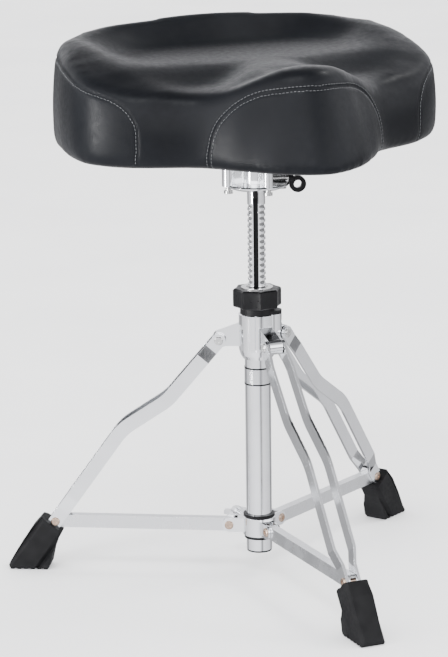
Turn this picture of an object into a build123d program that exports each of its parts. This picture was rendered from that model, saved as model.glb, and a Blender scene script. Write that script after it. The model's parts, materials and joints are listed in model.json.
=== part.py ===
from build123d import *
import os
from math import atan2, cos, degrees, hypot, pi

# Drum throne: a motorcycle-style seat on a threaded post, carried by a tripod of double-braced legs.
# Origin: on the post's axis, on the floor. +Z is up and the nose of the seat points along -Y.
# All sizes are in millimetres.

# ---------------------------------------------------------------- driving dimensions
LEG_AZIMUTHS = {"front": 270, "right": 30, "left": 150}
KEYWAY_AZIMUTH = 240        # the side of the rod with the keyway, and the slit in the casting
LUG_AZIMUTH = 330           # side of the casting that carries the lock screw

TUBE_R = 14.3
TUBE_WALL = 1.8
TUBE_BOTTOM = 26.9
TUBE_TOP = 297.5
RUN = 0.05                  # radial running clearance of shafts in their holes
GAP = 0.3                   # side clearance between sliding faces
PAST = 1.0                  # how far a cut runs on past the surface it cuts
DEEP = 30.0                 # a cut that goes right through

ROD_R = 9.9
ROD_BOTTOM = 180.0
ROD_TOP = 466.0
THREAD_PITCH = 6.5
THREAD_DEPTH = 1.3
THREAD_FROM = 186.0
THREAD_TO = 421.0
ROD_FLAT = 7.9              # distance from the axis to each flat
KEYWAY_W = 5.2
KEYWAY_FLOOR = 5.4

CASTING_R = 20.5
CASTING_BOTTOM = 247.0
CASTING_TOP = TUBE_TOP
CASTING_LIP = 2.0           # the casting stands this far off the tube at its lower end
CASTING_BELL = 257.0        # height where its bell reaches full size
SLIT_HALF = 0.9
PIVOT_R = 41.9              # top pivot of a leg, distance from the axis
PIVOT_Z = 267.7
EAR_HALF = 7.6
EAR_TIP_R = 8.5
EAR_ROOT_R = 16.0
EAR_LOW = 261.0
EAR_HIGH = 285.0
WASHER_R = 7.0
WASHER_T = 0.8
LUG_BOTTOM = 279.0
LUG_ROOT_HALF = 18.5        # half width where the lug leaves the casting
LUG_REACH = 16.0            # centre of the lug's round end
LUG_R = 11.0
LUG_TAB_T = 4.0
LOCK_SCREW_Z = 288.0
LOCK_SCREW_R = 3.0
LOCK_SCREW_L = 12.0
LOCK_SOCKET_DEPTH = 3.4

FLANGE_R = 19.0
FLANGE_TOP = 305.0
BUSHING_BOTTOM = 246.0
KEY_BOTTOM = 298.5
KEY_TOP = 303.0
KEY_OUT = 14.0
KEY_HALF = 2.2
NUT_R = 27.0
NUT_TOP = 326.0
NUT_FACETS = 8
NUT_TURN = 30               # azimuth of one corner of the nut
FACET_R = 44.0              # radius of a facet's shallow hollow
INSERT_R = 16.0
INSERT_RING_R = 17.5
INSERT_RING_BORE = 12.0
INSERT_RING_H = 1.2
BADGE_BOTTOM = 219.0
BADGE_TOP = 235.6
BADGE_T = 0.5
BADGE_RING_H = 1.6
BADGE_RING_T = 0.7

COLLAR_R = 18.0
COLLAR_BOTTOM = 43.0
COLLAR_TOP = 65.0
COLLAR_BORE = 16.0
COLLAR_PIVOT_R = 33.3
COLLAR_PIVOT_Z = 54.7
FORK_R = 8.0
FORK_HALF = 7.5
FORK_ROOT = 14.0
FORK_THROAT = 24.0          # the slot between the ears starts here
WING_BOLT_Z = 52.0
WING_SCREW_R = 3.0
WING_BOSS_R = 7.0
WING_BOSS_END = 28.0
WING_TIP = 55.6
WING_HALF_T = 2.0

FOOT_PIVOT_R = 229.5        # rivet that joins a stay to the foot of its leg
FOOT_PIVOT_Z = 55.3
BAR_W = 15.4
BAR_T = 3.2
BAR_IN_TOP = 8.6            # inner face of a bar at the top pivot, from the leg's middle plane
BAR_IN_MID = 10.2
BAR_IN_FOOT = 5.3
STAY_H = 14.4
STAY_HALF = 5.0
STAY_WALL = 1.5
RIVET_R = 3.2
RIVET_HEAD_R = 5.0
RIVET_HEAD_T = 1.6
DIMPLE_R = 1.7
DIMPLE_FLOOR = 0.7
SOLE_RIBS = 6
SOLE_START = 241.0
SOLE_PITCH = 7.6
SOLE_HALF = 13.2
BOOT_HALF = 14.1
BOOT_EDGE = 1.2
BOOT_CORNER = 6.0           # size of the cut that takes off a long corner

BRACKET_BOTTOM = 437.0
BRACKET_TOP = 480.0
BRACKET_R = 36.0
DISC_T = 7.0
HUB_R = 15.0
HUB_TOP = 472.0
BOSS_AT = 31.0              # distance of the bolt bosses from the axis
LEFT_BOSS_AT = 33.0
BOSS_R = 5.6
LEFT_BOSS_R = 7.0
RIB_HALF = 2.2
BOLT_R = 3.1
BOLT_HEAD_R = 5.0
BOLT_HEAD_H = 3.0
TEE_NUT_R = 4.0
CLOTH_HOLE_R = 7.5
BOARD_T = 12.0
BOARD_INSET = 16.0
HEM_INSET = 30.0
SEAT_TOP = 608.0
SEAT_HALF_W = 212.0
VINYL_T = 1.6
# right half of the seat's plan, from the nose round the thigh lobe to the back
SEAT_PLAN = [(0, -192), (42, -174), (78, -136), (112, -94), (170, -64), (208, -24), (212, 22),
             (204, 68), (191, 106), (140, 142), (0, 150)]
# (height, inset of the plan at its widest) of each level, from the hem to the crown
SEAT_LEVELS = [(480.0, 12), (502.0, 0), (542.0, 0), (586.0, 12), (608.0, 40)]
CLAMP_SCREW_Z = 447.0
CLAMP_AZIMUTH = -15         # the clamp screw passes beside the right-hand bolt
CLAMP_KEY_START = 36.0
CLAMP_SCREW_R = 3.0
KEY_HUB_R = 5.2
KEY_HUB_L = 5.0
KEY_EYE_OUT = 10.0
KEY_EYE_DROP = 7.0
KEY_EYE_R = 9.2
KEY_EYE_HALF = 3.0
KEY_HOLE_R = 4.4

LEG_BEND_1 = (99.8, 199.0)  # corners of a leg's middle line, (distance from the axis, height)
LEG_BEND_2 = (150.8, 165.2)
LEG_BEND_R = 62.0
LEG_LOWER = 171.0           # length of the leg below its second bend
JOGGLE_TOP = (13.0, 27.0)   # where the bars spread, measured from the top pivot
JOGGLE_FOOT = (35.0, 16.0)  # where they close again, measured from the foot rivet
STRAIGHT_END = 40.0         # the middle stretch of a bar starts this far from each end of its bends
# side view of a boot: (distance from the axis, height)
BOOT_SIDE = [(244.9, 61.0), (256.5, 47.5), (270.5, 26.5), (281.6, 8.5), (283.6, 4.0), (281.6, 1.6),
             (238.2, 1.6), (236.4, 4.0), (232.8, 20.0), (228.0, 33.0), (223.3, 41.0), (224.6, 46.4)]
RIB_SECTION = [(-2.9, 2), (-1.8, 0), (1.8, 0), (2.9, 2)]
WING_SIDE = [(0, 54), (10, 58), (14, 66), (9, 73), (0, 66)]


# ---------------------------------------------------------------- helpers
def ring(r_out, r_in, z0, z1):
    """A plain ring round the post."""
    body = Pos(0, 0, z0) * extrude(Circle(r_out), z1 - z0)
    return body - Pos(0, 0, z0 - PAST) * extrude(Circle(r_in), z1 - z0 + 2 * PAST)


def disc(r, z0, z1, x=0.0, y=0.0):
    """A round bar standing on its end."""
    return Pos(x, y, z0) * extrude(Circle(r), z1 - z0)


def block(x0, x1, y0, y1, z0, z1):
    """A box given by its lowest and highest corners."""
    return Pos((x0 + x1) / 2, (y0 + y1) / 2, (z0 + z1) / 2) * Box(x1 - x0, y1 - y0, z1 - z0)


def turned(points):
    """A solid of revolution from (radius, height) points."""
    return revolve(Plane.XZ * make_face(Polyline(*points, close=True)), Axis.Z)


def plate(face, y0, y1):
    """A face drawn in (distance from the axis, height), given thickness across the leg's plane."""
    return Pos(0, y1, 0) * extrude(Plane.XZ * face, y1 - y0)


def cross_rod(r, x, z, y0, y1):
    """A round bar across the leg's plane."""
    return plate(Pos(x, z) * Circle(r), y0, y1)


def around(azimuth, solid):
    """Turns a piece that was drawn along +X round the post to its azimuth."""
    return Rot(0, 0, azimuth) * solid


def along(start, end, distance):
    """The point at a distance from start towards end."""
    length = hypot(end[0] - start[0], end[1] - start[1])
    t = distance / length
    return start[0] + t * (end[0] - start[0]), start[1] + t * (end[1] - start[1])


def both_sides(make):
    """Makes the +Y piece and its mirror image as one group."""
    piece = make(1)
    return [piece, mirror(piece, Plane.XZ)]


# ---------------------------------------------------------------- post, casting and height screw
def base_tube():
    return ring(TUBE_R, TUBE_R - TUBE_WALL, TUBE_BOTTOM, TUBE_TOP)


def tube_plug():
    flange = disc(TUBE_R - 0.5, TUBE_BOTTOM - 2, TUBE_BOTTOM)
    return flange + disc(TUBE_R - TUBE_WALL, TUBE_BOTTOM, TUBE_BOTTOM + 12)


def casting_ear():
    """One of three ears, drawn along +X, that a leg's two bars straddle."""
    tip = Pos(PIVOT_R, PIVOT_Z) * Circle(EAR_TIP_R)
    root = Polyline((EAR_ROOT_R, EAR_LOW), (EAR_ROOT_R, EAR_HIGH), (EAR_ROOT_R + 5, EAR_HIGH - 0.5),
                    (PIVOT_R + 2, PIVOT_Z + EAR_TIP_R - 0.3), (PIVOT_R - 2, PIVOT_Z - EAR_TIP_R + 0.3),
                    (PIVOT_R - 8, EAR_LOW), close=True)
    ear = plate(make_face(root) + tip, -EAR_HALF, EAR_HALF)
    return ear - cross_rod(RIVET_R, PIVOT_R, PIVOT_Z, -EAR_HALF - PAST, EAR_HALF + PAST)


def lug_outline():
    """Plan of the lock lug that the casting and the flange above it share."""
    root = Polyline((0, -LUG_ROOT_HALF), (LUG_REACH, -LUG_R), (LUG_REACH, LUG_R), (0, LUG_ROOT_HALF),
                    close=True)
    return make_face(root) + Pos(LUG_REACH, 0) * Circle(LUG_R)


def top_casting():
    foot_r = TUBE_R + CASTING_LIP
    body = turned([(TUBE_R, CASTING_BOTTOM), (foot_r, CASTING_BOTTOM), (foot_r + 2.4, CASTING_BOTTOM + 4),
                   (CASTING_R, CASTING_BELL), (CASTING_R, CASTING_TOP - 0.8),
                   (CASTING_R - 0.8, CASTING_TOP), (TUBE_R, CASTING_TOP)])
    lug = Pos(0, 0, LUG_BOTTOM) * extrude(lug_outline(), CASTING_TOP - LUG_BOTTOM)
    body += around(LUG_AZIMUTH, lug)
    for azimuth in LEG_AZIMUTHS.values():
        body += around(azimuth, casting_ear())
    body -= disc(TUBE_R, CASTING_BOTTOM - PAST, CASTING_TOP + PAST)
    slit = block(TUBE_R + 1.2, DEEP, -SLIT_HALF, SLIT_HALF, CASTING_BELL, CASTING_TOP + PAST)
    return body - around(KEYWAY_AZIMUTH, slit) - around(LUG_AZIMUTH, lock_screw_hole())


def lock_screw_hole():
    """The radial hole of the lock screw, drawn along +X."""
    hole = extrude(Plane.YZ.offset(TUBE_R - PAST) * Circle(LOCK_SCREW_R), DEEP)
    return Pos(0, 0, LOCK_SCREW_Z) * hole


def lock_screw():
    """Socket set screw that tightens the bushing on the rod."""
    screw = extrude(Plane.YZ.offset(TUBE_R) * Circle(LOCK_SCREW_R), LOCK_SCREW_L)
    socket_start = TUBE_R + LOCK_SCREW_L - LOCK_SOCKET_DEPTH
    socket = extrude(Plane.YZ.offset(socket_start) * RegularPolygon(1.7, 6), LOCK_SOCKET_DEPTH + PAST)
    return around(LUG_AZIMUTH, Pos(0, 0, LOCK_SCREW_Z) * (screw - socket))


def guide_bushing():
    """Nylon bushing pressed into the tube, with the flange that the height nut turns on."""
    flange = extrude(Circle(FLANGE_R), FLANGE_TOP - TUBE_TOP)
    tab = Rot(0, 0, LUG_AZIMUTH) * lug_outline()
    flange += extrude(tab, LUG_TAB_T)
    sleeve = disc(TUBE_R - TUBE_WALL, BUSHING_BOTTOM, TUBE_TOP)
    bushing = sleeve + Pos(0, 0, TUBE_TOP) * flange
    bushing -= disc(ROD_R + RUN, BUSHING_BOTTOM - PAST, FLANGE_TOP + PAST)
    return bushing - around(KEYWAY_AZIMUTH, key_block(KEYWAY_FLOOR - PAST))


def key_block(start):
    """The key's block, drawn along +X from its inner end."""
    return block(start, KEY_OUT, -KEY_HALF, KEY_HALF, KEY_BOTTOM, KEY_TOP)


def rod_key():
    """Steel key in the flange that keeps the rod from turning."""
    return around(KEYWAY_AZIMUTH, key_block(KEYWAY_FLOOR + GAP))


def threaded_rod():
    crest = ROD_R
    root = ROD_R - THREAD_DEPTH
    points = [(0, ROD_BOTTOM), (crest - 1, ROD_BOTTOM), (crest, ROD_BOTTOM + 1), (crest, THREAD_FROM)]
    turns = int((THREAD_TO - THREAD_FROM) / THREAD_PITCH)
    for turn in range(turns):
        z = THREAD_FROM + turn * THREAD_PITCH
        points += [(crest, z + 0.34 * THREAD_PITCH), (root, z + 0.50 * THREAD_PITCH),
                   (root, z + 0.78 * THREAD_PITCH), (crest, z + 0.94 * THREAD_PITCH)]
    points += [(crest, ROD_TOP - 1), (crest - 1, ROD_TOP), (0, ROD_TOP)]
    rod = turned(points)
    for side in (0, 180):
        flat = block(ROD_FLAT, 2 * ROD_R, -ROD_R - PAST, ROD_R + PAST, ROD_BOTTOM - PAST, THREAD_TO)
        rod -= around(KEYWAY_AZIMUTH + side, flat)
    keyway = block(KEYWAY_FLOOR, 2 * ROD_R, -KEYWAY_W / 2, KEYWAY_W / 2, ROD_BOTTOM - PAST,
                   THREAD_TO + 6)
    return rod - around(KEYWAY_AZIMUTH, keyway)


def nut_grip():
    """Eight-sided hand nut with slightly hollow facets and softened edges."""
    body = extrude(RegularPolygon(NUT_R, NUT_FACETS), NUT_TOP - FLANGE_TOP - GAP)
    hollow = Pos(NUT_R * cos(pi / NUT_FACETS) + FACET_R - 1, 0, -PAST) * extrude(Circle(FACET_R), DEEP)
    for facet in range(NUT_FACETS):
        body -= Rot(0, 0, (facet + 0.5) * 360 / NUT_FACETS) * hollow
    top_edges = body.edges().group_by(Axis.Z)[-1]
    body = chamfer(top_edges, 1.6)
    body = chamfer(body.edges().group_by(Axis.Z)[0], 1.2)
    body = Pos(0, 0, FLANGE_TOP + GAP) * Rot(0, 0, NUT_TURN) * body
    return body - disc(INSERT_R, FLANGE_TOP - PAST, NUT_TOP + PAST)


def nut_insert():
    """Steel threaded core of the hand nut; its raised ring shows on top."""
    insert = disc(INSERT_R, FLANGE_TOP + GAP, NUT_TOP)
    insert += ring(INSERT_RING_R, INSERT_RING_BORE, NUT_TOP, NUT_TOP + INSERT_RING_H)
    return insert - disc(ROD_R + RUN, FLANGE_TOP - PAST, NUT_TOP + INSERT_RING_H + PAST)


def badge_band():
    return ring(TUBE_R + BADGE_T, TUBE_R, BADGE_BOTTOM, BADGE_TOP)


def badge_rings():
    starts = (BADGE_BOTTOM - BADGE_RING_H, BADGE_TOP)
    return [ring(TUBE_R + BADGE_RING_T, TUBE_R, z, z + BADGE_RING_H) for z in starts]


# ---------------------------------------------------------------- sliding collar
def collar_fork():
    """The two ears, drawn along +X, that hold the inner end of a stay."""
    low, high = COLLAR_PIVOT_Z - FORK_R, COLLAR_PIVOT_Z + FORK_R
    outline = make_face(Polyline((FORK_ROOT, low), (COLLAR_PIVOT_R, low), (COLLAR_PIVOT_R, high),
                                 (FORK_ROOT, high), close=True))
    outline += Pos(COLLAR_PIVOT_R, COLLAR_PIVOT_Z) * Circle(FORK_R)
    fork = plate(outline, -FORK_HALF, FORK_HALF)
    throat = block(FORK_THROAT, COLLAR_PIVOT_R + DEEP, -STAY_HALF - GAP, STAY_HALF + GAP,
                   low - PAST, high + PAST)
    return fork - throat - cross_rod(RIVET_R, COLLAR_PIVOT_R, COLLAR_PIVOT_Z, -DEEP, DEEP)


def collar():
    body = turned([(COLLAR_BORE, COLLAR_BOTTOM), (COLLAR_R - 1, COLLAR_BOTTOM),
                   (COLLAR_R, COLLAR_BOTTOM + 1), (COLLAR_R, COLLAR_TOP - 1),
                   (COLLAR_R - 1, COLLAR_TOP), (COLLAR_BORE, COLLAR_TOP)])
    body += back_rod(WING_BOSS_R, TUBE_R, WING_BOSS_END)
    for azimuth in LEG_AZIMUTHS.values():
        body += around(azimuth, collar_fork())
    body -= disc(COLLAR_BORE, COLLAR_BOTTOM - PAST, COLLAR_TOP + PAST)
    return body - back_rod(WING_SCREW_R + RUN, 0, 2 * DEEP)


def back_rod(radius, start, end):
    """A round bar along +Y at the height of the wing bolt."""
    return extrude(Plane.XZ.offset(-start) * Pos(0, WING_BOLT_Z) * Circle(radius), start - end)


def collar_bushing(z_inner, z_flange, z_end, r_flange):
    """Nylon liner between the collar and the tube, with a flange outside the collar."""
    low, high = sorted((z_inner, z_flange))
    liner = ring(COLLAR_BORE, TUBE_R + RUN, low, high)
    low, high = sorted((z_flange, z_end))
    liner += ring(r_flange, TUBE_R + RUN, low, high)
    return liner - back_rod(WING_SCREW_R + 0.4, 0, DEEP)


def collar_rivet():
    """Rivets of one stay, drawn along +X: a pin through the fork with a head on each side."""
    pin = cross_rod(RIVET_R, COLLAR_PIVOT_R, COLLAR_PIVOT_Z, -FORK_HALF, FORK_HALF)
    for side in (-1, 1):
        pin += rivet_head(COLLAR_PIVOT_R, COLLAR_PIVOT_Z, FORK_HALF, side)
    return pin


def rivet_head(x, z, y, side):
    """A low domed head with a dimple, standing on the face at side * y."""
    head = cross_rod(RIVET_HEAD_R, x, z, y, y + RIVET_HEAD_T)
    outer = head.edges().filter_by(GeomType.CIRCLE).sort_by(Axis.Y)[-1]
    head = chamfer(outer, RIVET_HEAD_T * 0.6)
    head -= cross_rod(DIMPLE_R, x, z, y + DIMPLE_FLOOR, y + RIVET_HEAD_T + PAST)
    return head if side > 0 else mirror(head, Plane.XZ)


def wing_bolt():
    """Clamp bolt of the collar, along +Y, with two rounded wings."""
    screw = back_rod(WING_SCREW_R, COLLAR_BORE - 0.4, WING_TIP)
    neck = back_rod(WING_BOSS_R - 1, WING_TIP - 3.6, WING_TIP + 6.4)
    hub = back_rod(WING_BOSS_R, WING_TIP - 0.6, WING_TIP + 8.4)
    wing = make_face(Polyline(*WING_SIDE, close=True))
    wings = extrude(fillet(wing.vertices(), 1.5), WING_HALF_T, both=True)
    wings += mirror(wings, Plane.YZ)
    return screw + neck + hub + Pos(0, 0, WING_BOLT_Z) * wings


# ---------------------------------------------------------------- legs and stays, drawn along +X
PIVOT = (PIVOT_R, PIVOT_Z)
FOOT_PIVOT = (FOOT_PIVOT_R, FOOT_PIVOT_Z)
LEG_END = along(LEG_BEND_2, FOOT_PIVOT, LEG_LOWER)


def bar_outline():
    """Side view of a leg bar: two smooth bends and a round top end."""
    line = FilletPolyline(PIVOT, LEG_BEND_1, LEG_BEND_2, LEG_END, radius=LEG_BEND_R)
    return trace(line, BAR_W) + Pos(*PIVOT) * Circle(BAR_W / 2)


def joggle(start, end, steps):
    """A slab that follows a bar sideways: steps are (distance along the bar, inner face)."""
    angle = degrees(atan2(end[1] - start[1], end[0] - start[0]))
    inner = [(d, y) for d, y in steps]
    outer = [(d, y + BAR_T) for d, y in reversed(steps)]
    slab = extrude(make_face(Polyline(*inner, *outer, close=True)), DEEP, both=True)
    return Pos(start[0], 0, start[1]) * Rot(0, -angle, 0) * slab


def leg_bar():
    """The bar on the +Y side of a leg."""
    flat = plate(bar_outline(), 0, DEEP)
    upper = hypot(LEG_BEND_1[0] - PIVOT[0], LEG_BEND_1[1] - PIVOT[1])
    lower = hypot(FOOT_PIVOT[0] - LEG_BEND_2[0], FOOT_PIVOT[1] - LEG_BEND_2[1])
    cut = STRAIGHT_END
    top = joggle(PIVOT, LEG_BEND_1, [(-cut, BAR_IN_TOP), (JOGGLE_TOP[0], BAR_IN_TOP),
                                     (JOGGLE_TOP[1], BAR_IN_MID), (cut, BAR_IN_MID)])
    foot = joggle(LEG_BEND_2, LEG_END, [(cut, BAR_IN_MID), (lower - JOGGLE_FOOT[0], BAR_IN_MID),
                                        (lower - JOGGLE_FOOT[1], BAR_IN_FOOT),
                                        (lower + 2 * DEEP, BAR_IN_FOOT)])
    # the middle stretch is what is left between the two square cuts
    middle = plate(bar_outline(), BAR_IN_MID, BAR_IN_MID + BAR_T)
    middle -= cut_block(PIVOT, LEG_BEND_1, -cut, cut)
    middle -= cut_block(LEG_BEND_2, LEG_END, cut, lower + 3 * DEEP)
    bar = (flat & top) + (flat & foot) + middle
    bar -= cross_rod(RIVET_R, *PIVOT, -DEEP, DEEP)
    return bar - cross_rod(RIVET_R, *FOOT_PIVOT, -DEEP, DEEP)


def cut_block(start, end, from_d, to_d):
    """A block across a straight stretch of the leg, between two distances along it."""
    angle = degrees(atan2(end[1] - start[1], end[0] - start[0]))
    return Pos(start[0], 0, start[1]) * Rot(0, -angle, 0) * block(from_d, to_d, -DEEP, DEEP, -DEEP, DEEP)


def top_stubs():
    """Shoulder rivets, one in each bar, that end flush with the bar's inner face."""
    def stub(side):
        shank = cross_rod(RIVET_R, *PIVOT, BAR_IN_TOP, BAR_IN_TOP + BAR_T)
        return shank + rivet_head(*PIVOT, BAR_IN_TOP + BAR_T, side)
    return both_sides(stub)


def hinge_bush():
    """Nylon bush in a casting ear, with a thin washer face on each side."""
    reach = EAR_HALF + WASHER_T
    bush = cross_rod(RIVET_R, *PIVOT, -reach, reach)
    washer = cross_rod(WASHER_R, *PIVOT, EAR_HALF, reach)
    return bush + washer + mirror(washer, Plane.XZ)


def foot_rivet():
    """The rivet through both bars and the stay."""
    face = BAR_IN_FOOT + BAR_T
    pin = cross_rod(RIVET_R, *FOOT_PIVOT, -face, face)
    for side in (-1, 1):
        pin += rivet_head(*FOOT_PIVOT, face, side)
    return pin


def stay():
    """Flat channel, open underneath, from the collar to the foot of the leg."""
    height = COLLAR_PIVOT_Z
    outline = make_face(Polyline(
        (COLLAR_PIVOT_R, height - STAY_H / 2), (FOOT_PIVOT_R, FOOT_PIVOT_Z - STAY_H / 2),
        (FOOT_PIVOT_R, FOOT_PIVOT_Z + STAY_H / 2), (COLLAR_PIVOT_R, height + STAY_H / 2), close=True))
    outline += Pos(COLLAR_PIVOT_R, height) * Circle(STAY_H / 2)
    outline += Pos(*FOOT_PIVOT) * Circle(STAY_H / 2)
    channel = plate(outline, -STAY_HALF, STAY_HALF)
    inside = STAY_HALF - STAY_WALL
    channel -= block(0, FOOT_PIVOT_R + DEEP, -inside, inside, height - STAY_H,
                     height + STAY_H / 2 - STAY_WALL)
    channel -= cross_rod(RIVET_R + RUN, COLLAR_PIVOT_R, height, -DEEP, DEEP)
    return channel - cross_rod(RIVET_R + RUN, *FOOT_PIVOT, -DEEP, DEEP)


def rubber_foot():
    """Wedge-shaped rubber boot with a ribbed sole and sockets for the two bars."""
    boot = plate(make_face(Polyline(*BOOT_SIDE, close=True)), -BOOT_HALF, BOOT_HALF)
    boot = fillet(boot.edges().filter_by(Axis.Y), BOOT_EDGE)
    boot = taper_boot(boot)
    rib = make_face(Polyline(*RIB_SECTION, close=True))
    for place in range(SOLE_RIBS):
        x = SOLE_START + place * SOLE_PITCH
        boot += plate(Pos(x, 0) * rib, -SOLE_HALF, SOLE_HALF)
    face = BAR_IN_FOOT + BAR_T
    for inner, outer in ((BAR_IN_FOOT, face), (-face, -BAR_IN_FOOT)):
        boot -= plate(bar_outline(), inner, outer)
    boot -= cross_rod(STAY_H / 2 + 1, *FOOT_PIVOT, -face, face)
    return boot - cross_rod(RIVET_HEAD_R + 0.4, *FOOT_PIVOT, -DEEP, DEEP)


def taper_boot(boot):
    """Takes the long corners off the boot, so its top is narrower than its sole."""
    angle = degrees(atan2(LEG_END[1] - LEG_BEND_2[1], LEG_END[0] - LEG_BEND_2[0]))
    for side in (-1, 1):
        for face in (-1, 1):
            wedge = Rot(side * face * 45, 0, 0) * Box(LEG_LOWER, BOOT_CORNER, BOOT_CORNER)
            place = Pos(FOOT_PIVOT[0], 0, FOOT_PIVOT[1]) * Rot(0, -angle, 0)
            boot -= place * Pos(0, side * (BOOT_HALF + 0.3), face * (BOOT_HALF + 0.9)) * wedge
    return boot


# ---------------------------------------------------------------- seat
def seat_outline(inset):
    """Plan of the seat: a narrow nose, two thigh lobes and a wide back, drawn smaller by an inset."""
    smaller = 1 - inset / SEAT_HALF_W
    right = [(x * smaller, y * smaller) for x, y in SEAT_PLAN]
    left = [(-x, y) for x, y in reversed(right[1:-1])]
    return make_face(Spline(*right, *left, periodic=True))


def seat_shape(skin):
    """Loft of the seat from its hem to its crown, inside a skin of that thickness."""
    first, last = SEAT_LEVELS[0], SEAT_LEVELS[-1]
    levels = [(first[0] + skin, first[1]), *SEAT_LEVELS[1:-1], (last[0] - skin, last[1])]
    sections = [Pos(0, 0, z) * seat_outline(edge + skin) for z, edge in levels]
    return loft(sections, ruled=True)


def seat_cover():
    """Vinyl skin, open underneath over the board."""
    skin = seat_shape(0) - seat_shape(VINYL_T)
    opening = Pos(0, 0, BRACKET_TOP - PAST) * extrude(seat_outline(HEM_INSET), VINYL_T + 2 * PAST)
    return skin - opening


def seat_board():
    board = Pos(0, 0, BRACKET_TOP + VINYL_T) * extrude(seat_outline(BOARD_INSET), BOARD_T)
    for x, y in boss_places():
        board -= disc(TEE_NUT_R, BRACKET_TOP, BRACKET_TOP + DEEP, x, y)
    return board


def seat_foam():
    board = Pos(0, 0, BRACKET_TOP - PAST) * extrude(seat_outline(BOARD_INSET), VINYL_T + BOARD_T + PAST)
    return seat_shape(VINYL_T) - board


def bottom_cloth():
    """Black cloth that closes the underside inside the skin's hem."""
    cloth = Pos(0, 0, BRACKET_TOP) * extrude(seat_outline(HEM_INSET + 1), VINYL_T)
    for x, y in boss_places():
        cloth -= disc(CLOTH_HOLE_R, BRACKET_TOP - PAST, BRACKET_TOP + VINYL_T + PAST, x, y)
    return cloth


def boss_places():
    """Centres of the four bolt bosses: right, back, left and front of the post."""
    return [(BOSS_AT, 0), (0, BOSS_AT), (-LEFT_BOSS_AT, 0), (0, -BOSS_AT)]


def seat_bracket():
    """Chromed casting: a dished disc, a clamp hub, four bolt bosses and four ribs."""
    rim_z = BRACKET_BOTTOM + DISC_T / 2
    disc_top = BRACKET_BOTTOM + DISC_T
    body = turned([(ROD_R + RUN, BRACKET_BOTTOM), (BRACKET_R - 10, BRACKET_BOTTOM),
                   (BRACKET_R - 1, rim_z), (BRACKET_R, rim_z + 1.5), (BRACKET_R - 1, rim_z + 3),
                   (ROD_R + RUN, disc_top)])
    body += disc(HUB_R, disc_top - 2, HUB_TOP)
    for x, y in boss_places():
        radius = LEFT_BOSS_R if x < 0 else BOSS_R
        body += disc(radius, disc_top - 2, BRACKET_TOP + VINYL_T, x, y)
    rib = make_face(Polyline((HUB_R - 3, disc_top - 2), (BOSS_AT - 1, disc_top - 2),
                             (BOSS_AT - 1, BRACKET_TOP - 3), (BOSS_AT - 6, BRACKET_TOP - 11),
                             (HUB_R - 3, BRACKET_TOP - 17), close=True))
    for azimuth in (0, 90, 180, 270):
        body += around(azimuth, plate(rib, -RIB_HALF, RIB_HALF))
    body -= disc(ROD_R + RUN, BRACKET_BOTTOM - PAST, BRACKET_TOP - 12)
    for x, y in boss_places():
        body -= disc(BOLT_R, BRACKET_BOTTOM - PAST, BRACKET_TOP + VINYL_T + PAST, x, y)
    clamp_hole = extrude(Plane.YZ.offset(ROD_R - PAST) * Circle(CLAMP_SCREW_R + RUN), DEEP)
    return body - around(CLAMP_AZIMUTH, Pos(0, 0, CLAMP_SCREW_Z) * clamp_hole)


def seat_bolts():
    """Four bolts up through the bosses into the board."""
    bolts = []
    for x, y in boss_places():
        bolt = disc(BOLT_R, BRACKET_BOTTOM, BRACKET_TOP + VINYL_T + BOARD_T, x, y)
        head = disc(BOLT_HEAD_R, BRACKET_BOTTOM - BOLT_HEAD_H, BRACKET_BOTTOM, x, y)
        bolts.append(bolt + head)
    return bolts


def tee_nuts():
    """Barbed nuts in the board that take the bolts."""
    low = BRACKET_TOP + VINYL_T
    nut = ring(TEE_NUT_R, BOLT_R, low, low + BOARD_T)
    return [Pos(x, y, 0) * nut for x, y in boss_places()]


def clamp_screw():
    """Screw that clamps the hub on the rod."""
    start = ROD_R + 0.4
    screw = extrude(Plane.YZ.offset(start) * Circle(CLAMP_SCREW_R), CLAMP_KEY_START - start)
    return around(CLAMP_AZIMUTH, Pos(0, 0, CLAMP_SCREW_Z) * screw)


def clamp_key():
    """Black moulded key on the clamp screw, an upright ring with a finger hole."""
    hub = extrude(Plane.YZ.offset(CLAMP_KEY_START) * Circle(KEY_HUB_R), KEY_HUB_L)
    eye_x = CLAMP_KEY_START + KEY_EYE_OUT
    eye = cross_rod(KEY_EYE_R, eye_x, -KEY_EYE_DROP, -KEY_EYE_HALF, KEY_EYE_HALF)
    eye -= cross_rod(KEY_HOLE_R, eye_x, -KEY_EYE_DROP, -DEEP, DEEP)
    return around(CLAMP_AZIMUTH, Pos(0, 0, CLAMP_SCREW_Z) * (hub + eye))


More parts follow.
